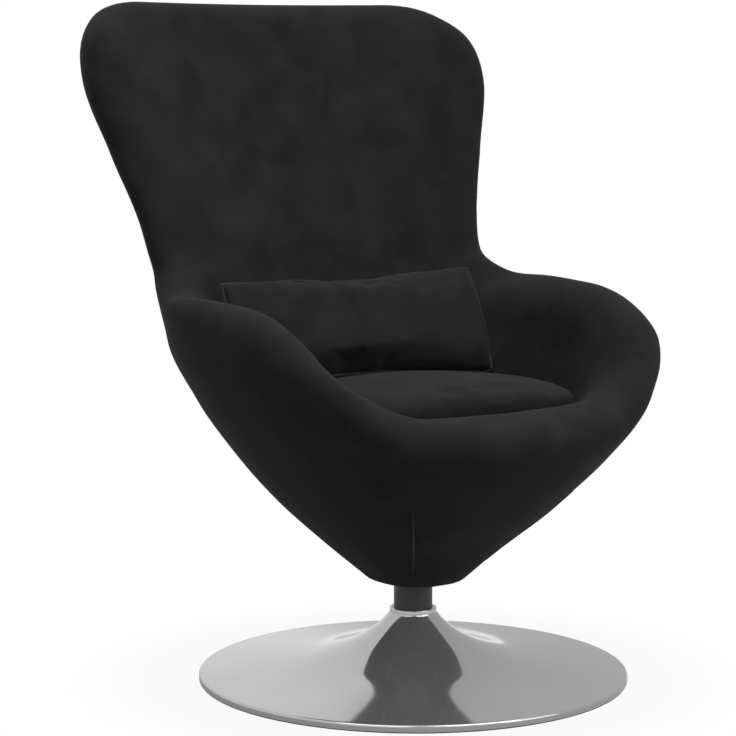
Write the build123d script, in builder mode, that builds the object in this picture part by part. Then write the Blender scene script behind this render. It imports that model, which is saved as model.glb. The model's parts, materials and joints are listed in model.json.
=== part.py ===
from build123d import *

import os
from math import cos, radians, sin, sqrt, tan

# Egg chair: an upholstered tulip shell that swivels on a column in a spun trumpet base.
# Millimetres, +Z up, the sitter faces -Y. The origin is on the floor, on the swivel axis.

# Base
base_radius = 300.0
rim_height = 11.0
rim_round = 3.5
sheet = 3.0
flare_radius = 120.0
flare_height = 32.0
trumpet_height = 100.0
collar_height = 6.0
collar_width = 5.6
collar_round = 2.0
floor_ring_height = 4.0
floor_ring_width = 72.0
floor_ring_step = 1.0
locating_rib_height = 3.0
locating_rib_width = 5.0
ballast_overlap = 12.0
ballast_thickness = 5.0

# Column
column_radius = 27.0
column_wall = 3.0
foot_radius = 75.0
foot_thickness = 8.0
foot_screw_count = 4
foot_screw_circle = 54.0
foot_screw_radius = 4.0
foot_screw_head = 8.0
countersink_angle = 82.0

# Swivel
hem_level = 140.0
column_reach = 2.0
spindle_radius = 12.5
spindle_end = 30.0
bush_length = 20.0
lower_bush_level = 44.0
bush_clearance = 0.05
bush_edge = 0.8
washer_thickness = 2.0
washer_radius = 20.0
clip_thickness = 1.2
clip_width = 4.0
clip_groove = 1.0
race_thickness = 2.5
race_rim = 0.8
ball_radius = 2.5
ball_count = 12
ball_pitch_radius = 20.0
race_gap = 3.8
ball_clearance = 0.05
cage_thickness = 2.0
cage_width = 9.0
swivel_plate_radius = 48.0
swivel_plate_thickness = 6.0
plate_bolt_count = 4
plate_bolt_circle = 36.0
plate_bolt_radius = 4.0
plate_bolt_head = 6.5
plate_bolt_head_height = 4.0
tee_nut_flange = 9.0
tee_nut_flange_thickness = 1.5
tee_nut_barrel = 5.5

# Egg form: a profile turned about an axis that leans forward from the hem
egg_lean = 3.0
hem_radius = 58.0
hem_slope = (1.25, 1.0)
hem_tuck = 5.0
bowl_point = (254.0, 180.0)
shoulder_point = (327.0, 290.0)
flare_length = 329.0
crown_point = (488.0, 830.0)

# Side elevation of the rim, as Y and Z
back_height = 936.0
wing_top_y = 320.0
waist_point = (231.0, 579.0)
arm_point = (-77.0, 543.0)
crest_point = (-177.0, 401.0)
nose_point = (-262.0, 376.0)
apron_point = (-340.0, 220.0)
top_round = 30.0
waist_round = 70.0
arm_round = 150.0
crest_round = 45.0
nose_round = 80.0

# Front elevation of the rim, as X and Z
skirt_outline = (440.0, 360.0)
arm_outline = (341.0, 500.0)
waist_outline = (302.0, 632.0)
ear_outline = (383.0, 940.0)
outline_round = 150.0
ear_round = 95.0

# Upholstery layers, from the outside in
cover_thickness = 10.0
shell_wall = 8.0
back_wall = 60.0
arm_wall = 76.0
edge_roll_depth = 32.0
hem_width = 12.0
hem_thickness = 5.0
hem_clearance = 4.0
layer_gap = 0.3
screw_clearance = 0.1

# Seat
board_thickness = 18.0
rib_thickness = 18.0
deck_level = 300.0
deck_thickness = 12.0
seat_front_y = -172.0
seat_corner = 110.0
seat_back_y = 195.0
back_recline = 20.0
back_curve = 700.0
deck_screw_radius = 2.5
deck_screw_head = 5.0
deck_screw_length = 40.0
deck_screw_circles = (60.0, 130.0)
cushion_height = 124.0
cushion_crown = 42.0
cushion_crown_y = -50.0
cushion_edge_round = 12.0

# Lumbar pillow
pillow_width = 424.0
pillow_height = 160.0
pillow_thickness = 92.0
pillow_edge = 8.0
pillow_waist = 28.0
pillow_bow = 36.0
pillow_lean = 27.0
pillow_y = 117.0

os.makedirs("parts", exist_ok=True)


def finish(piece, name):
    """Label a finished piece and write it as one STEP file."""
    piece.part.label = name
    export_step(piece.part, f"parts/{name}.step")


def ring(inner, outer, bottom, top):
    """A plain turned ring about the swivel axis."""
    with BuildPart() as turned:
        with BuildSketch(Plane.XY.offset(bottom)):
            Circle(outer)
            Circle(inner, mode=Mode.SUBTRACT)
        extrude(amount=top - bottom)
    return turned.part


# Heights of the swivel stack, from the floor up
ballast_level = floor_ring_height
foot_level = ballast_level + ballast_thickness
column_top = hem_level + column_reach
cage_level = column_top + race_thickness + race_gap / 2
plate_level = column_top + 2 * race_thickness + race_gap
shell_level = plate_level + swivel_plate_thickness
board_level = shell_level + shell_wall
rib_level = board_level + board_thickness
deck_top = deck_level + deck_thickness
column_bore = column_radius - column_wall


# Floor ring, with a rib that centres the trumpet
ring_outer = base_radius - floor_ring_step
ring_inner = ring_outer - floor_ring_width
rib_outer = base_radius - sheet - layer_gap
with BuildPart() as floor_ring:
    add(ring(ring_inner, ring_outer, 0, floor_ring_height))
    add(ring(rib_outer - locating_rib_width, rib_outer, floor_ring_height,
             floor_ring_height + locating_rib_height))
finish(floor_ring, "floor_ring")


# Ballast plate, carried by the inner edge of the floor ring, with the foot screws' holes
def foot_screw_spots():
    """Places of the screws that hold the column's foot."""
    return PolarLocations(foot_screw_circle, foot_screw_count, start_angle=45)


ballast_radius = ring_inner + ballast_overlap
with BuildPart() as ballast_plate:
    with BuildSketch(Plane.XY.offset(ballast_level)):
        Circle(ballast_radius)
    extrude(amount=ballast_thickness)
    with Locations(Plane.XY.offset(ballast_level).rotated((180, 0, 0))):
        with foot_screw_spots():
            CounterSinkHole(foot_screw_radius + screw_clearance, foot_screw_head + screw_clearance,
                            counter_sink_angle=countersink_angle)
finish(ballast_plate, "ballast_plate")


# Trumpet, spun from sheet: a rolled rim, two flaring arcs and a bright collar
def trumpet_flare(drop, end):
    """The flare from the rim inwards to the collar, lowered by drop."""
    start = (base_radius - rim_round, rim_height - drop)
    plain = TangentArc(start, (flare_radius, flare_height - drop), tangent=(-1, 0))
    return TangentArc(plain @ 1, end, tangent=plain % 1)


bore = column_radius + layer_gap
collar_radius = bore + collar_width
collar_base = trumpet_height - collar_height
with BuildPart() as trumpet_base:
    with BuildSketch(Plane.XZ):
        with BuildLine():
            skirt = Line((base_radius, floor_ring_height), (base_radius, rim_height - rim_round))
            TangentArc(skirt @ 1, (base_radius - rim_round, rim_height), tangent=(0, 1))
            outside = trumpet_flare(0, (collar_radius, collar_base))
            Polyline(outside @ 1, (collar_radius, trumpet_height), (bore, trumpet_height),
                     (bore, collar_base - sheet))
            trumpet_flare(sheet, (bore, collar_base - sheet))
            Polyline((base_radius - rim_round, rim_height - sheet), (base_radius - sheet, rim_height - sheet),
                     (base_radius - sheet, floor_ring_height), (base_radius, floor_ring_height))
        make_face()
    revolve(axis=Axis.Z)
    collar_top = trumpet_base.faces().filter_by(Plane.XY).sort_by(Axis.Z)[-1]
    fillet(collar_top.edges().sort_by(SortBy.RADIUS)[-1], collar_round)
finish(trumpet_base, "trumpet_base")


# Column tube, welded into its foot
with BuildPart() as column_tube:
    add(ring(column_bore, column_radius, foot_level, column_top))
finish(column_tube, "column_tube")

with BuildPart() as column_foot:
    add(ring(column_radius, foot_radius, foot_level, foot_level + foot_thickness))
    with Locations(Plane.XY.offset(foot_level + foot_thickness)):
        with foot_screw_spots():
            Hole(foot_screw_radius)
    chamfer(column_foot.edges().filter_by(GeomType.CIRCLE).group_by(SortBy.RADIUS)[-1].sort_by(Axis.Z)[-1],
            foot_thickness / 4)
finish(column_foot, "column_foot")


def countersunk_screw(radius, head_radius, length):
    """A flat-headed screw along +Z with its head at the origin."""
    head_depth = (head_radius - radius) / tan(radians(countersink_angle / 2))
    with BuildPart() as screw:
        with BuildSketch(Plane.XZ):
            Polygon((0, 0), (head_radius, 0), (radius, head_depth), (radius, length), (0, length), align=None)
        revolve(axis=Axis.Z)
    return screw.part


foot_screw = countersunk_screw(foot_screw_radius, foot_screw_head, ballast_thickness + foot_thickness)
with BuildPart() as foot_screws:
    with Locations(Plane.XY.offset(ballast_level)):
        with foot_screw_spots():
            add(foot_screw)
finish(foot_screws, "foot_screws")


# Plain bushes in the column and the spindle that turns in them
bush_bore = spindle_radius + bush_clearance
for name, level in (("lower_bush", lower_bush_level), ("upper_bush", column_top - bush_length)):
    with BuildPart() as bush:
        add(ring(bush_bore, column_bore, level, level + bush_length))
        chamfer(bush.edges().filter_by(GeomType.CIRCLE).group_by(SortBy.RADIUS)[0], bush_edge)
    finish(bush, name)

washer_level = lower_bush_level - layer_gap - washer_thickness
clip_level = washer_level - clip_thickness
clip_bore = spindle_radius - clip_groove
plate_top = plate_level + swivel_plate_thickness
with BuildPart() as spindle:
    with BuildSketch(Plane.XY.offset(spindle_end)):
        Circle(spindle_radius)
    extrude(amount=plate_top - spindle_end)
    add(ring(clip_bore, spindle_radius + clip_groove, clip_level, clip_level + clip_thickness),
        mode=Mode.SUBTRACT)
    chamfer(spindle.edges().sort_by(Axis.Z)[0], bush_edge)
finish(spindle, "spindle")

with BuildPart() as thrust_washer:
    add(ring(bush_bore, washer_radius, washer_level, washer_level + washer_thickness))
finish(thrust_washer, "thrust_washer")

with BuildPart() as retaining_clip:
    add(ring(clip_bore, clip_bore + clip_width, clip_level, clip_level + clip_thickness))
    with BuildSketch(Plane.XY.offset(clip_level)):
        with Locations((0, clip_bore + clip_width / 2)):
            Rectangle(clip_bore, 2 * clip_width)
    extrude(amount=clip_thickness, mode=Mode.SUBTRACT)
finish(retaining_clip, "retaining_clip")


# Thrust bearing between the column and the swivel plate
race_bore = spindle_radius + race_rim
race_outer = column_radius - race_rim
for name, level in (("lower_race", column_top), ("upper_race", plate_level - race_thickness)):
    with BuildPart() as race:
        add(ring(race_bore, race_outer, level, level + race_thickness))
        with Locations((0, 0, cage_level)):
            Torus(ball_pitch_radius, ball_radius + ball_clearance, mode=Mode.SUBTRACT)
    finish(race, name)

with BuildPart() as ball_cage:
    add(ring(ball_pitch_radius - cage_width / 2, ball_pitch_radius + cage_width / 2,
             cage_level - cage_thickness / 2, cage_level + cage_thickness / 2))
    with Locations((0, 0, cage_level)):
        with PolarLocations(ball_pitch_radius, ball_count):
            Sphere(ball_radius + ball_clearance, mode=Mode.SUBTRACT)
finish(ball_cage, "ball_cage")

with BuildPart() as bearing_balls:
    with Locations((0, 0, cage_level)):
        with PolarLocations(ball_pitch_radius, ball_count):
            Sphere(ball_radius)
finish(bearing_balls, "bearing_balls")


# Swivel plate on the spindle, with the bolts that clamp the shell to it
def plate_bolt_spots():
    """Places of the bolts round the spindle."""
    return PolarLocations(plate_bolt_circle, plate_bolt_count, start_angle=45)


bolt_hole = plate_bolt_radius + screw_clearance
with BuildPart() as swivel_plate:
    add(ring(spindle_radius, swivel_plate_radius, plate_level, plate_top))
    with Locations((0, 0, plate_top)):
        with plate_bolt_spots():
            Hole(bolt_hole)
    chamfer(swivel_plate.edges().filter_by(GeomType.CIRCLE).group_by(SortBy.RADIUS)[-1],
            swivel_plate_thickness / 6)
finish(swivel_plate, "swivel_plate")

bolt_length = rib_level - plate_level
with BuildPart() as plate_bolts:
    with BuildSketch(Plane.XY.offset(plate_level)):
        with plate_bolt_spots():
            RegularPolygon(plate_bolt_head, 6)
    extrude(amount=-plate_bolt_head_height)
    with BuildSketch(Plane.XY.offset(plate_level)):
        with plate_bolt_spots():
            Circle(plate_bolt_radius)
    extrude(amount=bolt_length)
finish(plate_bolts, "plate_bolts")

barrel_length = board_thickness / 2
with BuildPart() as tee_nuts:
    with BuildSketch(Plane.XY.offset(rib_level)):
        with plate_bolt_spots():
            Circle(tee_nut_flange)
    extrude(amount=tee_nut_flange_thickness)
    with BuildSketch(Plane.XY.offset(rib_level)):
        with plate_bolt_spots():
            Circle(tee_nut_barrel)
    extrude(amount=-barrel_length)
    with Locations((0, 0, rib_level + tee_nut_flange_thickness)):
        with plate_bolt_spots():
            Hole(plate_bolt_radius)
finish(tee_nuts, "tee_nuts")


# Egg form
lean = radians(egg_lean)
egg_origin = (0, 0, hem_level)
egg_axis = Axis(egg_origin, (0, -sin(lean), cos(lean)))
egg_plane = Plane(origin=egg_origin, x_dir=(1, 0, 0), z_dir=(0, -cos(lean), -sin(lean)))
far = 2 * base_radius


def egg_line():
    """Joints of the outer egg profile and the profile's direction at each."""
    hem = Vector(hem_radius, 0) - Vector(hem_slope) * hem_tuck
    bowl = TangentArc(hem, bowl_point, tangent=hem_slope, mode=Mode.PRIVATE)
    shoulder = TangentArc(bowl_point, shoulder_point, tangent=bowl % 1, mode=Mode.PRIVATE)
    flare_end = shoulder @ 1 + (shoulder % 1) * flare_length
    crown = TangentArc(flare_end, crown_point, tangent=shoulder % 1, mode=Mode.PRIVATE)
    joints = [hem, bowl @ 1, shoulder @ 1, flare_end, crown @ 1]
    directions = [bowl % 0, bowl % 1, shoulder % 1, shoulder % 1, crown % 1]
    return joints, directions


def turned_egg(inset):
    """The egg profile moved inwards by inset and turned about the leaning axis."""
    joints, directions = egg_line()
    points = [joint + Vector(-way.Y, way.X) * inset for joint, way in zip(joints, directions)]
    hem, bowl, shoulder, flare_end, crown = points
    with BuildPart() as egg:
        with BuildSketch(egg_plane):
            with BuildLine():
                TangentArc(hem, bowl, tangent=directions[0])
                TangentArc(bowl, shoulder, tangent=directions[1])
                Line(shoulder, flare_end)
                TangentArc(flare_end, crown, tangent=directions[3])
                Polyline(crown, (0, crown.Y), (0, hem.Y), hem)
            make_face()
        revolve(axis=egg_axis)
    return egg.part


def rim_cut(depth):
    """All that lies in front of and above the rim, brought back by depth."""
    path = [(far, back_height), (wing_top_y, back_height), waist_point, arm_point,
            crest_point, nose_point, apron_point]
    rounds = [top_round, waist_round, arm_round, crest_round, nose_round]
    with BuildPart() as cut:
        with BuildSketch(Plane.YZ):
            with BuildLine():
                rim = FilletPolyline(*path, radius=rounds)
                Polyline(rim @ 1, (-far, apron_point[1]), (-far, back_height + far),
                         (far, back_height + far), rim @ 0)
            make_face()
            if depth:
                offset(amount=depth)
        extrude(amount=far, both=True)
    return cut.part


def side_cut(depth):
    """All that lies beside the front elevation, brought in by depth."""
    path = [skirt_outline, arm_outline, waist_outline, ear_outline, (0, ear_outline[1])]
    with BuildPart() as cut:
        with BuildSketch(Plane.XZ):
            with BuildLine():
                outline = FilletPolyline(*path, radius=[outline_round, outline_round, ear_round])
                Polyline(outline @ 1, (0, ear_outline[1] + far), (far, ear_outline[1] + far),
                         (far, skirt_outline[1]), outline @ 0)
            make_face()
            if depth:
                offset(amount=depth)
            mirror(about=Plane.YZ)
        extrude(amount=far, both=True)
    return cut.part


def egg_form(inset):
    """The whole egg, drawn in all round by inset, before its rim is cut."""
    with BuildPart() as form:
        add(turned_egg(inset))
        add(side_cut(inset), mode=Mode.SUBTRACT)
    return form.part


def seat_hollow(inset):
    """The hollow that the sitter and the seat cushion fill, drawn in by inset."""
    half_width = arm_outline[0] - arm_wall - inset
    with BuildPart() as room:
        with BuildSketch(Plane.XY.offset(deck_top)):
            with Locations((0, seat_front_y + inset + far)):
                RectangleRounded(2 * half_width, 2 * far, seat_corner)
        extrude(amount=waist_point[1] - deck_top)
        with BuildSketch(Plane.XY.offset(waist_point[1])):
            Rectangle(2 * far, 2 * far)
        extrude(amount=far)
    axis_y = seat_back_y - back_curve
    rest = Plane(origin=(0, axis_y, deck_top + cushion_height), x_dir=(1, 0, 0),
                 z_dir=(0, sin(radians(back_recline)), cos(radians(back_recline))))
    with BuildPart() as hollow:
        add(turned_egg(back_wall + inset))
        add(room.part, mode=Mode.INTERSECT)
        with BuildSketch(rest):
            Circle(back_curve - inset)
        extrude(amount=2 * far, both=True, mode=Mode.INTERSECT)
    return hollow.part


def below(level):
    """A block of all that lies under a level."""
    with BuildPart() as block:
        with BuildSketch(Plane.XY.offset(level)):
            Rectangle(4 * far, 4 * far)
        extrude(amount=-far)
    return block.part


# Upholstery layers: cover, shell and inner pad end under the roll that caps the rim
shell_inset = cover_thickness + layer_gap
pad_inset = shell_inset + shell_wall + layer_gap
rim_seat = rim_cut(edge_roll_depth)
whole_egg = egg_form(0)
inner_egg = egg_form(pad_inset)
hollow = seat_hollow(0)

with BuildPart() as outer_cover:
    add(whole_egg)
    add(egg_form(cover_thickness), mode=Mode.SUBTRACT)
    add(rim_seat, mode=Mode.SUBTRACT)
    add(below(hem_level), mode=Mode.SUBTRACT)
    with BuildSketch():
        Circle(hem_radius - hem_width)
    extrude(amount=shell_level, mode=Mode.SUBTRACT)
finish(outer_cover, "outer_cover")

with BuildPart() as hem_trim:
    add(ring(column_radius + hem_clearance, hem_radius - hem_width - layer_gap,
             hem_level, hem_level + hem_thickness))
finish(hem_trim, "hem_trim")

with BuildPart() as shell_core:
    add(egg_form(shell_inset + shell_wall))
    add(below(board_level), mode=Mode.SUBTRACT)
with BuildPart() as moulded_shell:
    add(egg_form(shell_inset))
    add(shell_core.part, mode=Mode.SUBTRACT)
    add(rim_seat, mode=Mode.SUBTRACT)
    add(below(shell_level), mode=Mode.SUBTRACT)
    with Locations((0, 0, board_level)):
        with plate_bolt_spots():
            Hole(bolt_hole)
finish(moulded_shell, "moulded_shell")

with BuildPart() as inner_pad:
    add(inner_egg)
    add(rim_seat, mode=Mode.SUBTRACT)
    add(hollow, mode=Mode.SUBTRACT)
    add(below(deck_top), mode=Mode.SUBTRACT)
finish(inner_pad, "inner_pad")

with BuildPart() as edge_roll:
    add(whole_egg)
    add(rim_cut(0), mode=Mode.SUBTRACT)
    add(hollow, mode=Mode.SUBTRACT)
    add(rim_cut(edge_roll_depth - layer_gap), mode=Mode.INTERSECT)
finish(edge_roll, "edge_roll")


# Seat structure in the bottom of the shell
with BuildPart() as mounting_board:
    add(inner_egg)
    add(below(board_level), mode=Mode.SUBTRACT)
    with BuildSketch(Plane.XY.offset(board_level)):
        Circle(far)
    extrude(amount=board_thickness, mode=Mode.INTERSECT)
    with Locations((0, 0, rib_level)):
        with plate_bolt_spots():
            CounterBoreHole(bolt_hole, tee_nut_barrel, barrel_length)
finish(mounting_board, "mounting_board")

deck_spots = [spot for radius in deck_screw_circles for spot in PolarLocations(radius, 4).locations]
deck_screw = countersunk_screw(deck_screw_radius, deck_screw_head, deck_screw_length)
with BuildPart() as seat_deck:
    add(inner_egg)
    with BuildSketch(Plane.XY.offset(deck_level)):
        Circle(far)
    extrude(amount=deck_thickness, mode=Mode.INTERSECT)
    with Locations((0, 0, deck_top)):
        with Locations(*deck_spots):
            CounterSinkHole(deck_screw_radius + screw_clearance, deck_screw_head + screw_clearance,
                            counter_sink_angle=countersink_angle)
finish(seat_deck, "seat_deck")

with BuildPart() as deck_screws:
    with Locations(Plane.XY.offset(deck_top).rotated((180, 0, 0))):
        with Locations(*deck_spots):
            add(deck_screw)
finish(deck_screws, "deck_screws")

lap_level = (rib_level + deck_level) / 2
lap_width = rib_thickness + 2 * layer_gap
for name, plane, lap_bottom, lap_top in (
        ("long_rib", Plane.YZ, lap_level, deck_level), ("cross_rib", Plane.XZ, rib_level, lap_level)):
    with BuildPart() as rib:
        add(inner_egg)
        with BuildSketch(plane):
            with Locations((0, (rib_level + deck_level) / 2)):
                Rectangle(2 * far, deck_level - rib_level)
        extrude(amount=rib_thickness / 2, both=True, mode=Mode.INTERSECT)
        with BuildSketch(Plane.XY.offset(lap_bottom)):
            Rectangle(lap_width, lap_width)
        extrude(amount=lap_top - lap_bottom, mode=Mode.SUBTRACT)
        with Locations((0, 0, deck_level)):
            with Locations(*deck_spots):
                Hole(deck_screw_radius, deck_screw_length - deck_thickness)
    finish(rib, name)


# Seat cushion: fills the hollow above the deck, with a crowned top
cushion_level = deck_top + layer_gap
cushion_reach = arm_outline[0] - arm_wall
crown_radius = (cushion_reach**2 + cushion_crown**2) / (2 * cushion_crown)
with BuildPart() as seat_cushion:
    add(seat_hollow(layer_gap))
    with Locations((0, cushion_crown_y, cushion_level + cushion_height - crown_radius)):
        Sphere(crown_radius, mode=Mode.INTERSECT)
    add(below(cushion_level), mode=Mode.SUBTRACT)
    crown_face = seat_cushion.faces().filter_by(GeomType.SPHERE)
    fillet(crown_face.edges(), cushion_edge_round)
finish(seat_cushion, "seat_cushion")


# Lumbar pillow: lens sections that swell to the middle and draw in between the corners.
# Its lower edge rests on the crown of the cushion.
pillow_steps = (-1.0, -0.8, -0.4, 0.0, 0.4, 0.8, 1.0)
pillow_tilt = radians(pillow_lean)
pillow_thick_way = (0, cos(pillow_tilt), -sin(pillow_tilt))
half_middle = (pillow_height - pillow_waist) / 2
rest_y = pillow_y + pillow_bow - half_middle * sin(pillow_tilt)
crown_fall = crown_radius - sqrt(crown_radius**2 - (rest_y - cushion_crown_y)**2)
pillow_z = cushion_level + cushion_height - crown_fall + layer_gap + half_middle * cos(pillow_tilt)
with BuildPart() as lumbar_pillow:
    for step in pillow_steps:
        middle = 1 - step**2
        half_height = (pillow_height - pillow_waist * middle) / 2
        half_thickness = (pillow_edge + (pillow_thickness - pillow_edge) * (1 - step**4)) / 2
        center = (step * pillow_width / 2, pillow_y + pillow_bow * middle, pillow_z)
        with BuildSketch(Plane(origin=center, x_dir=pillow_thick_way, z_dir=(1, 0, 0))):
            with BuildLine():
                ThreePointArc((0, -half_height), (half_thickness, 0), (0, half_height))
                ThreePointArc((0, half_height), (-half_thickness, 0), (0, -half_height))
            make_face()
    loft()
finish(lumbar_pillow, "lumbar_pillow")
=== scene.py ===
import bpy
import json
import math
import numpy as np
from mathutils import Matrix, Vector


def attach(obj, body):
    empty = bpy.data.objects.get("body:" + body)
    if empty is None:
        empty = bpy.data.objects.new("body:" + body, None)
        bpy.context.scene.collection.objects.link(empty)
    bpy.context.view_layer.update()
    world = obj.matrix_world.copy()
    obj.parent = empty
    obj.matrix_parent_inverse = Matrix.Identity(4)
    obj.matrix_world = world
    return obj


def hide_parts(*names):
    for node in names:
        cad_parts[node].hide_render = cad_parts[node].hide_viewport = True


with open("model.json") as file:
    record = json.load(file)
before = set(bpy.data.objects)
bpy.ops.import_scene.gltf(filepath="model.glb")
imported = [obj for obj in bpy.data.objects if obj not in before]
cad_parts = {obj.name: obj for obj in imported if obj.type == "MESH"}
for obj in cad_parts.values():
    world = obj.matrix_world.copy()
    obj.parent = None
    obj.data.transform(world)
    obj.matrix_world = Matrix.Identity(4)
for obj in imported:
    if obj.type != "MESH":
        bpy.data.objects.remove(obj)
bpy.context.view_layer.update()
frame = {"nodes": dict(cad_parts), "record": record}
nodes = frame["nodes"]

# Shapes are worked out in millimetres. Only the meshes, lamps and camera are in metres.
MM = 0.001
DECK = 312.0        # level that the seat cushion stands on
SEAT_TOP = 436.0    # level of the seat
STEP = 6.0          # spacing of the grid that the soft forms are worked out on


# Tools for soft forms, which are signed distances on a grid, negative inside

def blend_max(a, b, k):
    """Maximum of two distances with the edge between them rounded over k."""
    h = np.maximum(k - np.abs(a - b), 0) / k
    return np.maximum(a, b) + h * h * k / 4


def soft_step(t):
    """Eases from 0 to 1."""
    t = np.clip(t, 0, 1)
    return t * t * (3 - 2 * t)


def smooth_curve(x, knots, values):
    """Monotone cubic through the knots."""
    kx, ky = np.asarray(knots, float), np.asarray(values, float)
    step = np.diff(kx)
    slope = np.diff(ky) / step
    m = np.zeros_like(ky)
    m[0], m[-1] = slope[0], slope[-1]
    same = slope[:-1] * slope[1:] > 0
    w1, w2 = 2 * step[1:] + step[:-1], step[1:] + 2 * step[:-1]
    product = np.where(same, slope[:-1] * slope[1:], 0)
    total = np.where(same, w1 * slope[1:] + w2 * slope[:-1], 1)
    m[1:-1] = product * (w1 + w2) / total
    i = np.clip(np.searchsorted(kx, x) - 1, 0, len(kx) - 2)
    t = np.clip((x - kx[i]) / step[i], 0, 1)
    a, b = ky[i], ky[i + 1]
    h = step[i]
    return (a * (1 + 2 * t) * (1 - t) ** 2 + b * t * t * (3 - 2 * t)
            + m[i] * h * t * (1 - t) ** 2 - m[i + 1] * h * t * t * (1 - t))


def true_distance(f):
    """Scales a level function so that it changes by about one per millimetre."""
    gx, gy, gz = np.gradient(f, STEP)
    return f / np.maximum(np.sqrt(gx * gx + gy * gy + gz * gz), 1e-4)


def surface_net(f):
    """Points and quads of the zero level of f: one point in each cell that the level crosses."""
    inside = f < 0
    cells, points, quads = [], [], []
    for axis in range(3):
        low = [slice(1, -1)] * 3
        high = [slice(1, -1)] * 3
        low[axis], high[axis] = slice(0, -1), slice(1, None)
        f0, f1 = f[tuple(low)], f[tuple(high)]
        cross = np.argwhere(inside[tuple(low)] != inside[tuple(high)])
        v0, v1 = f0[tuple(cross.T)], f1[tuple(cross.T)]
        base = cross + 1
        base[:, axis] -= 1
        point = base.astype(float)
        point[:, axis] += v0 / (v0 - v1)
        p, q = (axis + 1) % 3, (axis + 2) % 3
        around = []
        for dp, dq in ((-1, -1), (0, -1), (0, 0), (-1, 0)):
            c = base.copy()
            c[:, p] += dp
            c[:, q] += dq
            around.append(np.ravel_multi_index(tuple(c.T), f.shape))
        quad = np.stack(around, 1)
        flip = v0 >= 0
        quad[flip] = quad[flip][:, ::-1]
        quads.append(quad)
        cells.append(quad.ravel())
        points.append(np.repeat(point, 4, 0))
    cells, points, quads = np.concatenate(cells), np.concatenate(points), np.concatenate(quads)
    ids, index, count = np.unique(cells, return_inverse=True, return_counts=True)
    total = [np.bincount(index, points[:, k]) for k in range(3)]
    verts = np.stack(total, 1) / count[:, None]
    return verts * STEP + GRID_START, np.searchsorted(ids, quads)


def relax(verts, quads, rounds):
    """Smooths a mesh and keeps its size: points go in towards their neighbours, then out."""
    edges = np.concatenate([quads[:, [k, (k + 1) % 4]] for k in range(4)])
    a = np.concatenate([edges[:, 0], edges[:, 1]])
    b = np.concatenate([edges[:, 1], edges[:, 0]])
    count = np.bincount(a, minlength=len(verts))
    for _ in range(rounds):
        for share in (0.5, -0.52):
            total = [np.bincount(a, verts[b, k], len(verts)) for k in range(3)]
            mean = np.stack(total, 1) / count[:, None]
            verts = verts + (mean - verts) * share
    return verts


def read_grid(grid, points):
    """Values of a grid at points, weighed between its eight nearest nodes."""
    at = (points - GRID_START) / STEP
    low = np.floor(at).astype(int)
    part = at - low
    total = np.zeros(len(points))
    for corner in np.ndindex(2, 2, 2):
        weight = np.where(np.array(corner, bool), part, 1 - part).prod(1)
        total += weight * grid[tuple((low + corner).T)]
    return total


def press_clear(verts, taken, gap):
    """Presses points out of the space that is taken until they clear it by a gap."""
    slopes = np.gradient(taken, STEP)
    for _ in range(4):
        away = np.stack([read_grid(slope, verts) for slope in slopes], 1)
        short = np.maximum(gap - read_grid(taken, verts), 0)
        verts = verts + away * (short / np.maximum((away ** 2).sum(1), 0.2))[:, None]
    return verts


# Tools for meshes

def mesh_object(name, verts, quads):
    """A smooth-shaded object from points in millimetres."""
    mesh = bpy.data.meshes.new(name)
    mesh.from_pydata((verts * MM).tolist(), [], quads.tolist())
    mesh.polygons.foreach_set("use_smooth", [True] * len(mesh.polygons))
    mesh.update()
    piece = bpy.data.objects.new(name, mesh)
    bpy.context.scene.collection.objects.link(piece)
    return piece


def read_points(mesh):
    """A mesh's points in metres."""
    flat = np.empty(len(mesh.vertices) * 3)
    mesh.vertices.foreach_get("co", flat)
    return flat.reshape(-1, 3)


def set_points(piece, verts):
    """Moves a piece's points to places in millimetres."""
    piece.data.vertices.foreach_set("co", (verts * MM).ravel())
    piece.data.update()


CLOTH_QUALITY, CLOTH_MASS, CLOTH_PRESSURE = 5, 0.3, 4


def swell(piece, frames, cap):
    """Puffs a closed piece up with the cloth solver, each point by cap millimetres at most."""
    mesh, scene = piece.data, bpy.context.scene
    rest = read_points(mesh)
    cloth = piece.modifiers.new("cloth", "CLOTH")
    cloth.settings.quality = CLOTH_QUALITY
    cloth.settings.mass = CLOTH_MASS
    cloth.settings.use_pressure = True
    cloth.settings.uniform_pressure_force = CLOTH_PRESSURE
    cloth.settings.effector_weights.gravity = 0
    cloth.collision_settings.use_collision = False
    cloth.point_cache.frame_end = frames
    for number in range(1, frames + 1):
        scene.frame_set(number)
    depsgraph = bpy.context.evaluated_depsgraph_get()
    move = read_points(piece.evaluated_get(depsgraph).data) - rest
    piece.modifiers.remove(cloth)
    scene.frame_set(1)
    length = np.linalg.norm(move, axis=1, keepdims=True)
    move *= np.minimum(1, cap * MM / np.maximum(length, 1e-9))
    mesh.vertices.foreach_set("co", (rest + move).ravel())
    mesh.update()


def stitch(rings, sides, closed):
    """Quads between rings of points that follow each other."""
    here = np.arange(sides)
    after = (here + 1) % sides
    quads = []
    for i in range(rings if closed else rings - 1):
        a, b = i * sides, (i + 1) % rings * sides
        quads.append(np.stack([a + here, a + after, b + after, b + here], 1))
    return np.concatenate(quads)


def lathe(name, profile, segments):
    """A closed ring spun from a profile of radius and height."""
    turn = np.arange(segments) * 2 * math.pi / segments
    verts = np.concatenate([
        np.stack([r * np.cos(turn), r * np.sin(turn), np.full(segments, z)], 1)
        for r, z in profile])
    return mesh_object(name, verts, stitch(len(profile), segments, True))


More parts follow.
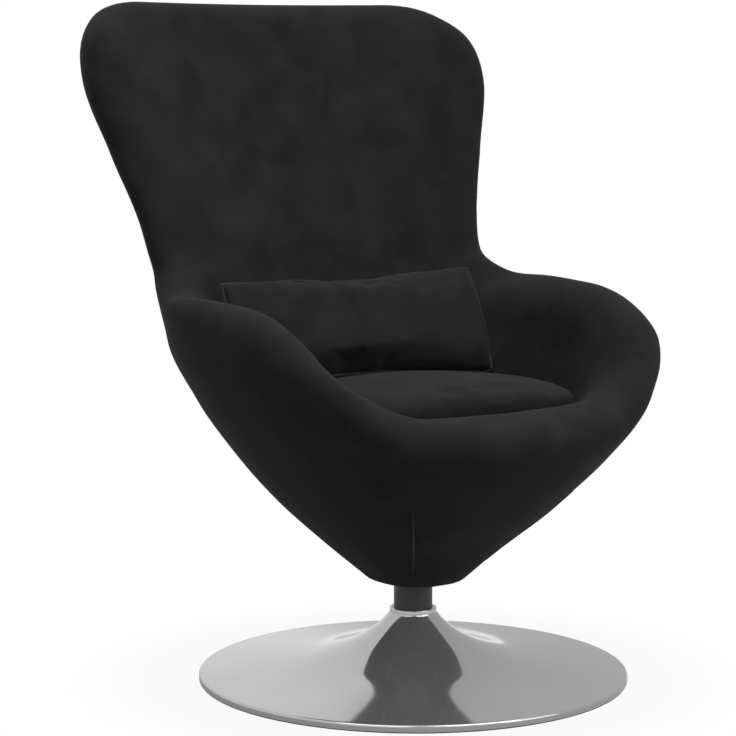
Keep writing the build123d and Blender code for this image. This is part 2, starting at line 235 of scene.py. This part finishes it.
def tube(path, radii, closed=False, sides=8):
    """Points and quads of a round cord along a path of points."""
    path = np.asarray(path, float)
    if closed:
        along = np.roll(path, -1, 0) - np.roll(path, 1, 0)
    else:
        along = np.gradient(path, axis=0)
    along /= np.linalg.norm(along, axis=1, keepdims=True)
    aside = np.tile((0.31, 0.17, 0.94), (len(path), 1))     # no path here runs this way
    first = np.cross(along, aside)
    first /= np.linalg.norm(first, axis=1, keepdims=True)
    second = np.cross(along, first)
    turn = np.arange(sides) * 2 * math.pi / sides
    ring = (first[:, None] * np.cos(turn)[None, :, None]
            + second[:, None] * np.sin(turn)[None, :, None])
    reach = np.broadcast_to(radii, len(path))[:, None, None]
    verts = (path[:, None] + ring * reach).reshape(-1, 3)
    return verts, stitch(len(path), sides, closed)


# Grid round the whole seat

xs = np.arange(-390, 391, STEP)
ys = np.arange(-366, 463, STEP)
zs = np.arange(116, 981, STEP)
GRID_START = np.array((xs[0], ys[0], zs[0]))
X, Y, Z = np.meshgrid(xs, ys, zs, indexing="ij")


# Outer form of the shell, by level: half width, where it is widest, back and front

LEVEL = (120, 140, 190, 250, 320, 400, 480, 560, 640, 730, 830, 900, 980)
HALF_WIDTH = (36, 58, 115, 179, 244, 303, 337, 331, 313, 326, 353, 358, 352)
WIDEST_Y = (0, 0, 0, 0, -10, -20, -5, 60, 155, 230, 272, 300, 320)
BACK_Y = (38, 60, 118, 178, 228, 266, 298, 332, 364, 385, 403, 412, 420)
FRONT_Y = (-40, -68, -118, -190, -258, -310, -326, -320, -320, -320, -320, -320, -320)
BACK_POWER, FRONT_POWER = 2.35, 2.5     # how square the two halves of a level are, 2 is round
FORM_SCALE = 300


def level_sizes(z):
    """Half width, widest place, back and front of the outer form at levels z."""
    return [smooth_curve(z, LEVEL, sizes) for sizes in (HALF_WIDTH, WIDEST_Y, BACK_Y, FRONT_Y)]


def outer_form():
    a, yc, back, front = (sizes[None, None, :] for sizes in level_sizes(zs))
    dy = Y - yc
    b = np.where(dy > 0, back - yc, yc - front)
    n = np.where(dy > 0, BACK_POWER, FRONT_POWER)
    q = (np.abs(X / a) ** n + np.abs(dy / b) ** n) ** (1 / n)
    return true_distance((q - 1) * FORM_SCALE)


def outer_point(turn, z):
    """Point of the outer form at an angle round the axis from the front."""
    a, yc, back, front = (float(sizes[0]) for sizes in level_sizes(np.array([z])))
    ahead = np.array((math.sin(turn), -math.cos(turn)))
    near, far = 5.0, 500.0
    for _ in range(40):
        reach = (near + far) / 2
        x, dy = reach * ahead[0], reach * ahead[1] - yc
        n, b = (BACK_POWER, back - yc) if dy > 0 else (FRONT_POWER, yc - front)
        if (abs(x / a) ** n + abs(dy / b) ** n) ** (1 / n) < 1:
            near = reach
        else:
            far = reach
    return np.array((near * ahead[0], near * ahead[1], z))


# Rim: height of front and arms by angle round the seat from the front, in degrees,
# and front edge of the wings by level

TURN = (0, 34, 40, 47, 53, 58, 63, 69, 77, 86, 100, 118, 180)
RIM_HEIGHT = (404, 406, 414, 434, 457, 479, 502, 521, 537, 544, 546, 544, 542)
LIP_Y, LIP_FALL = -200, 0.3             # in front of this the rim falls off
WING_LEVEL = (500, 556, 640, 730, 830, 960)
WING_Y = (184, 194, 218, 241, 261, 292)
WING_SLOPE = 0.97                       # cosine of the wings' lean
TOP, TOP_DIP, TOP_DIP_HALF_WIDTH = 954, 4, 260
TOP_ROUND = 40
CROOK_ROUND = 72                        # between arms and wings


def rim_level():
    """How far a point is above the rim of the front and arms, before the wings or over the top."""
    turn = np.degrees(np.arctan2(np.abs(X), -Y))
    height = smooth_curve(turn, TURN, RIM_HEIGHT) - LIP_FALL * np.maximum(LIP_Y - Y, 0)
    arms = true_distance(Z - height)
    front = smooth_curve(zs, WING_LEVEL, WING_Y)[None, None, :] - Y
    top = Z - TOP + TOP_DIP * np.maximum(1 - (X / TOP_DIP_HALF_WIDTH) ** 2, 0)
    wing = blend_max(WING_SLOPE * front, top, TOP_ROUND)
    return -blend_max(-arms, -wing, CROOK_ROUND)


# Hollow that the sitter, the cushion and the pillow fill

ROOM_HALF_WIDTH, ROOM_FRONT_Y, ROOM_CORNER = 260, -176, 100
REAR_Y, REAR_EASE = -20, 140            # from here back the room is narrower
REAR_NARROWER, REAR_OPENS, REAR_OPENS_OVER = 24, 0.25, 110
ROOM_OPENS_LEVEL, ROOM_OPENS = 560, 1.5     # from here up it widens out
BACK_LEAN = math.radians(20)
BACK_FOOT_Y, BACK_BEND = 196, 1400
WALL, WALL_THINNER, WALL_LEVEL, WALL_EASE = 60, 14, 540, 160
BACK_ROUND, REST_ROUND, DECK_ROUND = 90, 110, 10


def hollow_form():
    rear = soft_step((Y - REAR_Y) / REAR_EASE)
    opens = REAR_OPENS * np.clip(Z - SEAT_TOP, 0, REAR_OPENS_OVER)
    half_width = (ROOM_HALF_WIDTH - rear * (REAR_NARROWER - opens)
                  + np.maximum(Z - ROOM_OPENS_LEVEL, 0) * ROOM_OPENS)
    room = blend_max(np.abs(X) - half_width, ROOM_FRONT_Y - Y, ROOM_CORNER)
    back = (Y - BACK_FOOT_Y - (Z - SEAT_TOP) * math.tan(BACK_LEAN)
            + X * X / BACK_BEND) * math.cos(BACK_LEAN)
    sides = outside + WALL - WALL_THINNER * soft_step((Z - WALL_LEVEL) / WALL_EASE)
    rest = blend_max(back, sides, BACK_ROUND)
    return blend_max(blend_max(room, rest, REST_ROUND), DECK - Z, DECK_ROUND)


# Shell upholstery: the outer form with rounded upper corners, cut off at the rim and hollowed out

EAR_X, EAR_Z, EAR_RADIUS, EAR_ROUND = 214, 808, 141, 30
ROLL, ROLL_THINNER, ROLL_LEVEL, ROLL_EASE = 62, 26, 520, 140    # rounding of the rim
ARM_X, ARM_EASE, ARM_TOP, ARM_TOP_EASE = 130, 130, 575, 40      # where the rim is an arm
ARM_OUTER, LEDGE_OUTER, ARM_INNER = 15, 16, 24                  # sharper outside, softer inside
LEDGE_Y, LEDGE_EASE = 10, 110
SHELL_BOTTOM = 140
RECESS_RADIUS, RECESS_TOP = 46.5, 160                           # round the column
FORM_RELAX = 6


def shell_form():
    ears = np.hypot(np.maximum(np.abs(X) - EAR_X, 0), np.maximum(Z - EAR_Z, 0)) - EAR_RADIUS
    edge = ROLL - ROLL_THINNER * soft_step((Z - ROLL_LEVEL) / ROLL_EASE)
    arm = soft_step((np.abs(X) - ARM_X) / ARM_EASE) * soft_step((ARM_TOP - Z) / ARM_TOP_EASE)
    ledge = soft_step((Y - LEDGE_Y) / LEDGE_EASE)
    form = blend_max(outside, ears, EAR_ROUND)
    form = blend_max(form, rim_level(), edge - (ARM_OUTER + LEDGE_OUTER * ledge) * arm)
    form = blend_max(form, -hollow, edge + ARM_INNER * arm)
    form = np.maximum(form, SHELL_BOTTOM - Z)
    recess = np.maximum(np.hypot(X, Y) - RECESS_RADIUS, Z - RECESS_TOP)
    return np.maximum(form, -recess)


outside = outer_form()
hollow = hollow_form()
body = shell_form()
verts, quads = surface_net(body)
shell = mesh_object("shell_upholstery", relax(verts, quads, FORM_RELAX), quads)


# Dart seams, where the cover is drawn in towards the column: two in front and two behind

DART_TURN = 37
DART_LOW, DART_HIGH, DART_POINTS = 172, 276, 44
DART_END_RADIUS, DART_SWELL = 0.2, 1.5

levels = np.linspace(DART_LOW, DART_HIGH, DART_POINTS)
arch = np.clip(np.sin(np.linspace(0.02, 3.12, DART_POINTS)), 0, 1)
taper = DART_END_RADIUS + DART_SWELL * np.sqrt(arch)
seam_verts, seam_quads, seam_count = [], [], 0
for turn in (DART_TURN, -DART_TURN, 180 - DART_TURN, DART_TURN - 180):
    verts, quads = tube([outer_point(math.radians(turn), z) for z in levels], taper)
    seam_verts.append(verts)
    seam_quads.append(quads + seam_count)
    seam_count += len(verts)
darts = mesh_object("dart_seams", np.concatenate(seam_verts), np.concatenate(seam_quads))


# Seat cushion: fills the hollow from the deck up, with a crowned top

CUSHION_MIDDLE_Y = -50
CUSHION_BELOW_SEAT, CUSHION_CROWN, CUSHION_REACH = 10, 36, 265
CUSHION_GAP, DECK_GAP = 4, 0.5
CUSHION_EDGE = 20
CUSHION_SLOPE = 0.97
CUSHION_FRAMES, CUSHION_CAP, CUSHION_RELAX = 20, 4, 4


def cushion_form():
    fall = np.hypot(X, Y - CUSHION_MIDDLE_Y)
    top = SEAT_TOP - CUSHION_BELOW_SEAT - CUSHION_CROWN * (fall / CUSHION_REACH) ** 2
    lower = np.maximum(hollow + CUSHION_GAP, DECK + DECK_GAP - Z)
    return blend_max(lower, (Z - top) * CUSHION_SLOPE, CUSHION_EDGE)


filling = cushion_form()
verts, quads = surface_net(filling)
cushion = mesh_object("seat_cushion_soft", relax(verts, quads, FORM_RELAX), quads)
swell(cushion, CUSHION_FRAMES, CUSHION_CAP)
verts = relax(read_points(cushion.data) / MM, quads, CUSHION_RELAX)
verts[:, 2] = np.maximum(verts[:, 2], DECK + DECK_GAP)
set_points(cushion, verts)


# Lumbar pillow: two panels sewn round the edge and stuffed, then bowed and leaning on the back

PANEL_HALF_WIDTH, PANEL_HALF_HEIGHT, PANEL_OPEN = 222, 86, 30
PANEL_END_CURVE, PANEL_SIDE_CURVE = 0.015, 0.1      # the panels are cut slightly barrel-shaped
PANEL_COLUMNS, PANEL_ROWS = 76, 32
PILLOW_FRAMES, PILLOW_CAP = 18, 22
PILLOW_HALF_SIZE = np.array((218, 83, 46))          # across, up and through
PILLOW_LEAN = math.radians(27)
PILLOW_Y, PILLOW_BOW, PILLOW_Z = 117, 36, 479
PILLOW_GAP, CUSHION_PUFF = 2.4, 3
WELT_RADIUS = 1.9


def pillow_panels():
    """Two flat panels in a slightly open lens, sewn together at the edge."""
    u, v = np.meshgrid(np.linspace(-1, 1, PANEL_COLUMNS + 1), np.linspace(-1, 1, PANEL_ROWS + 1),
                       indexing="ij")
    open_by = PANEL_OPEN * np.sqrt(np.clip((1 - u ** 4) * (1 - v ** 4), 0, 1))
    inner = np.zeros(u.shape, bool)
    inner[1:-1, 1:-1] = True
    front = np.arange(u.size).reshape(u.shape)
    back = front.copy()
    back[inner] = front.size + np.arange(inner.sum())
    across = PANEL_HALF_WIDTH * u * (1 + PANEL_END_CURVE * (1 - v * v))
    up = PANEL_HALF_HEIGHT * v * (1 + PANEL_SIDE_CURVE * (1 - u * u))
    flat = np.stack([across, up, -open_by], -1)
    verts = np.concatenate([flat.reshape(-1, 3), flat[inner] * (1, 1, -1)])
    quads = []
    for grid, order in ((front, 1), (back, -1)):
        corners = (grid[:-1, :-1], grid[:-1, 1:], grid[1:, 1:], grid[1:, :-1])
        quads.append(np.stack(corners, -1).reshape(-1, 4)[:, ::order])
    return verts, np.concatenate(quads), front


def lay_pillow(verts):
    """Fits the stuffed pillow to its size, bows it and leans it on the back."""
    across, up, through = (verts * PILLOW_HALF_SIZE / np.abs(verts).max(0)).T
    bow = PILLOW_Y + PILLOW_BOW * (1 - (across / PILLOW_HALF_SIZE[0]) ** 2)
    y = bow + up * math.sin(PILLOW_LEAN) + through * math.cos(PILLOW_LEAN)
    z = PILLOW_Z + up * math.cos(PILLOW_LEAN) - through * math.sin(PILLOW_LEAN)
    return np.stack([across, y, z], 1)


verts, quads, sewn = pillow_panels()
pillow = mesh_object("lumbar_pillow_soft", verts, quads)
swell(pillow, PILLOW_FRAMES, PILLOW_CAP)
# The soft pillow gives way to the arms, the back and the swollen cushion
taken = np.minimum(body, filling - CUSHION_PUFF)
verts = press_clear(lay_pillow(read_points(pillow.data) / MM), taken, PILLOW_GAP)
set_points(pillow, verts)
edge_ids = np.concatenate([sewn[:-1, 0], sewn[-1, :-1], sewn[:0:-1, -1], sewn[0, :0:-1]])
welt = mesh_object("pillow_welt", *tube(verts[edge_ids], WELT_RADIUS, closed=True))
for piece in (cushion, pillow):
    smooth = piece.modifiers.new("smooth", "SUBSURF")
    smooth.levels = smooth.render_levels = 1


# Chrome trumpet: slope of the flare in degrees by radius, from the collar out to the rim

FLARE_RADIUS = (32.9, 45, 60, 85, 110, 135, 165, 200, 240, 297)
FLARE_SLOPE = (57, 45, 36, 26, 19, 15.4, 10, 7.5, 6.6, 6)
FLARE_START, FLARE_LOW, FLARE_HIGH = 296.87, 10.98, 94
DISC_RADIUS, DISC_BOTTOM, SHEET = 300, 1.5, 3
BEAD, BEAD_Z, BEAD_END = 3.5, 7.5, 82       # rounding of the rim: radius, level, end in degrees
COLLAR_RADIUS, COLLAR_TOP, COLLAR_ROUND = 32.9, 100, 2
BORE_RADIUS, BORE_LOW = 27.4, 90
CREASE = 0.2                                # points this far from a corner keep it sharp
TRUMPET_SEGMENTS = 288


def arc(r, z, radius, start, end, count):
    """Points on a circle, between two angles in degrees."""
    return [(r + radius * math.cos(t), z + radius * math.sin(t))
            for t in np.radians(np.linspace(start, end, count))]


def trumpet_profile():
    """Radius and height, from the rim up the flare, over the collar and back underneath."""
    r = np.concatenate([np.linspace(FLARE_START, 130, 60), np.linspace(128, COLLAR_RADIUS, 70)])
    slope = np.tan(np.radians(smooth_curve(r, FLARE_RADIUS, FLARE_SLOPE)))
    rise = np.concatenate([[0], np.cumsum((slope[1:] + slope[:-1]) / 2 * -np.diff(r))])
    z = FLARE_LOW + rise * (FLARE_HIGH - FLARE_LOW) / rise[-1]
    rim = [(DISC_RADIUS, 6)] + arc(DISC_RADIUS - BEAD, BEAD_Z, BEAD, 0, BEAD_END, 12)
    shoulder = COLLAR_TOP - COLLAR_ROUND
    collar = [(COLLAR_RADIUS, level) for level in (FLARE_HIGH + 0.1, FLARE_HIGH + 0.5, shoulder)]
    collar += arc(COLLAR_RADIUS - COLLAR_ROUND, shoulder, COLLAR_ROUND, 10, 90, 8)
    collar += [(BORE_RADIUS + CREASE, COLLAR_TOP), (BORE_RADIUS, COLLAR_TOP),
               (BORE_RADIUS, COLLAR_TOP - CREASE), (BORE_RADIUS, BORE_LOW)]
    inner = DISC_RADIUS - SHEET
    under = [(a, b - SHEET * math.hypot(1, t))
             for a, b, t in zip(r[::-1], z[::-1], slope[::-1]) if a < inner - 2]
    skirt = [(inner, BEAD_Z), (inner, DISC_BOTTOM + CREASE), (inner, DISC_BOTTOM),
             (inner + CREASE, DISC_BOTTOM), (DISC_RADIUS - CREASE, DISC_BOTTOM),
             (DISC_RADIUS, DISC_BOTTOM), (DISC_RADIUS, DISC_BOTTOM + CREASE),
             (DISC_RADIUS, DISC_BOTTOM + SHEET)]
    return rim + list(zip(r, z)) + collar + under + skirt


trumpet = lathe("trumpet_chrome", trumpet_profile(), TRUMPET_SEGMENTS)


# Materials

def set_values(node, **values):
    """Sets values on a node's sockets, whose spaces are written as _ here."""
    for socket, value in values.items():
        node.inputs[socket.replace("_", " ")].default_value = value


def add_node(tree, kind, **values):
    """A new node with values on its sockets."""
    node = tree.nodes.new("ShaderNode" + kind)
    set_values(node, **values)
    return node


def new_material(name):
    """A node material with its tree and its shader."""
    m = bpy.data.materials.new(name)
    m.use_nodes = True
    return m, m.node_tree, m.node_tree.nodes["Principled BSDF"]


def paint(tree, bsdf, pattern, stops, roughness):
    """Colour and roughness that follow a pattern."""
    ramp = add_node(tree, "ValToRGB")
    for element, (position, color) in zip(ramp.color_ramp.elements, stops):
        element.position = position
        element.color = (*color, 1)
    tree.links.new(pattern, ramp.inputs["Fac"])
    tree.links.new(ramp.outputs["Color"], bsdf.inputs["Base Color"])
    wear = add_node(tree, "MapRange", To_Min=roughness[0], To_Max=roughness[1])
    tree.links.new(pattern, wear.inputs["Value"])
    tree.links.new(wear.outputs["Result"], bsdf.inputs["Roughness"])


def emboss(tree, bsdf, height, strength, depth):
    """Bump that follows a height, with its depth in metres."""
    bump = add_node(tree, "Bump", Strength=strength, Distance=depth)
    tree.links.new(height, bump.inputs["Height"])
    tree.links.new(bump.outputs["Normal"], bsdf.inputs["Normal"])


def velvet(name, low, high, sheen):
    """Short pile: patches brushed lighter and darker, with fine fibres."""
    m, tree, bsdf = new_material(name)
    place = add_node(tree, "TexCoord").outputs["Object"]
    nap = add_node(tree, "TexNoise", Scale=17.0, Detail=7.0, Distortion=0.35)
    tree.links.new(place, nap.inputs["Vector"])
    stops = ((0.32, (low, low, low * 1.04)), (0.7, (high, high, high * 1.03)))
    paint(tree, bsdf, nap.outputs["Fac"], stops, (0.84, 0.96))
    fibre = add_node(tree, "TexNoise", Scale=900.0, Detail=2.0)
    tree.links.new(place, fibre.inputs["Vector"])
    pile = add_node(tree, "Math")
    pile.operation = "MULTIPLY_ADD"
    pile.inputs[1].default_value = 0.5
    tree.links.new(fibre.outputs["Fac"], pile.inputs[0])
    tree.links.new(nap.outputs["Fac"], pile.inputs[2])
    emboss(tree, bsdf, pile.outputs[0], 0.3, 0.0012)
    set_values(bsdf, Specular_IOR_Level=0.06, Sheen_Weight=sheen, Sheen_Roughness=0.45,
               Sheen_Tint=(0.8, 0.8, 0.82, 1))
    return m


EVEN = (1, 1, 1)


def grained(name, dark, light, roughness, scale, depth, metallic=0.0, stretch=EVEN):
    """A hard surface with grain in its colour, roughness and height, stretched along its axes."""
    m, tree, bsdf = new_material(name)
    place = add_node(tree, "TexCoord").outputs["Object"]
    fit = add_node(tree, "Mapping", Scale=stretch)
    tree.links.new(place, fit.inputs["Vector"])
    grain = add_node(tree, "TexNoise", Scale=scale, Detail=6.0)
    tree.links.new(fit.outputs["Vector"], grain.inputs["Vector"])
    paint(tree, bsdf, grain.outputs["Fac"], ((0.3, dark), (0.72, light)), roughness)
    emboss(tree, bsdf, grain.outputs["Fac"], 0.2, depth)
    set_values(bsdf, Metallic=metallic)
    return m


black_velvet = velvet("black_velvet", 0.0100, 0.0164, sheen=0.05)
# Seam velvet: the same black velvet as the cover, painted lighter to show the highlight along the
# dart seams and the pillow welt
seam_velvet_painted_highlight = velvet("seam_velvet_painted_highlight", 0.018, 0.032, sheen=0.12)
looks = {
    "chrome": grained("polished_chrome", (0.465, 0.47, 0.475), (0.495, 0.5, 0.505),
                      (0.045, 0.1), 9, 0.00025, metallic=0.76),
    "column": grained("satin_charcoal", (0.019, 0.019, 0.0205), (0.025, 0.025, 0.0265),
                      (0.44, 0.56), 160, 0.0002),
    "rubber": grained("foot_rubber", (0.014, 0.014, 0.014), (0.024, 0.024, 0.024),
                      (0.65, 0.85), 220, 0.0004),
    "steel": grained("zinc_steel", (0.46, 0.46, 0.48), (0.62, 0.62, 0.64),
                     (0.26, 0.46), 130, 0.00015, metallic=1.0, stretch=(1, 1, 0.12)),
    "plastic": grained("bush_plastic", (0.05, 0.05, 0.052), (0.07, 0.07, 0.072),
                       (0.42, 0.58), 320, 0.0002),
    "plywood": grained("raw_plywood", (0.4, 0.27, 0.145), (0.6, 0.45, 0.28),
                       (0.6, 0.8), 60, 0.0005, stretch=(1, 0.08, 6)),
    "shell": grained("shell_plastic", (0.032, 0.032, 0.032), (0.048, 0.048, 0.048),
                     (0.5, 0.68), 90, 0.0004),
    "velvet": black_velvet,
}
for part in frame["record"]["subparts"]:
    mesh = nodes[part["node"]].data
    mesh.materials.clear()
    mesh.materials.append(looks[part["material_slot"]])

trumpet.data.materials.append(looks["chrome"])
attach(trumpet, "base")
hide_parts("trumpet_base")

for piece in (shell, cushion, pillow):
    piece.data.materials.append(black_velvet)
for piece, body_name in ((darts, "seat"), (welt, "pillow")):
    piece.data.materials.append(seam_velvet_painted_highlight)
    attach(piece, body_name)
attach(shell, "seat")
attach(cushion, "seat")
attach(pillow, "pillow")
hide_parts("outer_cover", "moulded_shell", "inner_pad", "edge_roll")
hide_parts("seat_cushion")
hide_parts("lumbar_pillow")


# Studio: a floor and a world that the camera and the chrome see as white

FLOOR_SIZE = 24
WHITE = (1, 1, 1, 1)


def floor_white():
    """A pale floor that keeps the shadow near the base."""
    m, tree, bsdf = new_material("floor_white")
    link = tree.links.new
    set_values(bsdf, Base_Color=(0.3, 0.3, 0.3, 1), Roughness=0.9, Specular_IOR_Level=0.0)
    light = add_node(tree, "Emission", Color=WHITE, Strength=1.0)
    path = add_node(tree, "LightPath")
    reach = add_node(tree, "VectorMath")
    reach.operation = "LENGTH"
    link(add_node(tree, "TexCoord").outputs["Object"], reach.inputs[0])
    glow = add_node(tree, "MapRange", From_Min=0.30, From_Max=0.52, To_Min=0.93, To_Max=1.0)
    glow.interpolation_type = "SMOOTHSTEP"
    link(reach.outputs["Value"], glow.inputs["Value"])
    mirrored = add_node(tree, "MapRange", From_Min=0.30, From_Max=0.60, To_Min=0.25, To_Max=1.0)
    link(reach.outputs["Value"], mirrored.inputs["Value"])
    seen = add_node(tree, "Math")
    seen.operation = "MULTIPLY"
    link(path.outputs["Is Camera Ray"], seen.inputs[0])
    link(glow.outputs["Result"], seen.inputs[1])
    share = add_node(tree, "Math")
    share.operation = "MULTIPLY_ADD"
    link(path.outputs["Is Glossy Ray"], share.inputs[0])
    link(mirrored.outputs["Result"], share.inputs[1])
    link(seen.outputs[0], share.inputs[2])
    mix = add_node(tree, "MixShader")
    link(share.outputs[0], mix.inputs["Fac"])
    link(bsdf.outputs[0], mix.inputs[1])
    link(light.outputs[0], mix.inputs[2])
    link(mix.outputs[0], tree.nodes["Material Output"].inputs["Surface"])
    return m


def studio_world():
    """Dim for the object and white for the camera; the chrome sees one side brighter."""
    world = bpy.data.worlds.new("studio")
    world.use_nodes = True
    tree = world.node_tree
    link = tree.links.new
    sky = tree.nodes["Background"]
    set_values(sky, Color=WHITE)
    path = add_node(tree, "LightPath")
    seen = add_node(tree, "Math")
    seen.operation = "MAXIMUM"
    link(path.outputs["Is Camera Ray"], seen.inputs[0])
    link(path.outputs["Is Transmission Ray"], seen.inputs[1])
    side = add_node(tree, "VectorMath")
    side.operation = "DOT_PRODUCT"
    side.inputs[1].default_value = (-0.81, 0.587, 0)
    link(add_node(tree, "TexCoord").outputs["Generated"], side.inputs[0])
    panel = add_node(tree, "MapRange", From_Min=-0.02, From_Max=0.07, To_Min=0.56, To_Max=0.98)
    panel.interpolation_type = "SMOOTHSTEP"
    link(side.outputs["Value"], panel.inputs["Value"])
    mirrored = add_node(tree, "MapRange", To_Min=0.45)
    link(path.outputs["Is Glossy Ray"], mirrored.inputs["Value"])
    link(panel.outputs["Result"], mirrored.inputs["To Max"])
    level = add_node(tree, "MapRange", To_Max=1.0)
    link(seen.outputs[0], level.inputs["Value"])
    link(mirrored.outputs["Result"], level.inputs["To Min"])
    link(level.outputs["Result"], sky.inputs["Strength"])
    return world


def area_light(name, place, target, size, watts):
    data = bpy.data.lights.new(name, "AREA")
    data.size = size
    data.energy = watts
    lamp = bpy.data.objects.new(name, data)
    lamp.location = place
    aim = Vector(target) - Vector(place)
    lamp.rotation_euler = aim.to_track_quat("-Z", "Y").to_euler()
    bpy.context.scene.collection.objects.link(lamp)


bpy.ops.mesh.primitive_plane_add(size=FLOOR_SIZE, location=(0, 0, 0))
floor = bpy.context.object
floor.name = "floor"
floor.data.materials.append(floor_white())
bpy.context.scene.world = studio_world()

area_light("key", (0.2, -2.6, 3.0), (0, 0, 0.5), 2.6, 56)
area_light("top", (0.6, 0.2, 3.2), (0, 0, 0.4), 2.4, 44)
area_light("fill", (1.5, -3.0, 1.5), (0, 0.1, 0.55), 2.0, 24)
area_light("left", (-1.9, -1.0, 3.1), (0.1, 0, 0.55), 2.0, 28)


# Camera, at the photograph's viewing angle

CAMERA_PLACE = (-2.0462, -2.7154, 0.870)
CAMERA_HEADING, CAMERA_PITCH = math.radians(-35.935), math.radians(-7.27)
CAMERA_LENS, CAMERA_SENSOR = 121.06, 36

camera_data = bpy.data.cameras.new("camera")
camera_data.lens = CAMERA_LENS
camera_data.sensor_width = CAMERA_SENSOR
camera = bpy.data.objects.new("camera", camera_data)
camera.location = CAMERA_PLACE
aim = Vector((-math.sin(CAMERA_HEADING) * math.cos(CAMERA_PITCH),
              math.cos(CAMERA_HEADING) * math.cos(CAMERA_PITCH), math.sin(CAMERA_PITCH)))
camera.rotation_euler = aim.to_track_quat("-Z", "Y").to_euler()
bpy.context.scene.collection.objects.link(camera)
bpy.context.scene.camera = camera

bpy.context.scene.view_settings.view_transform = "Standard"
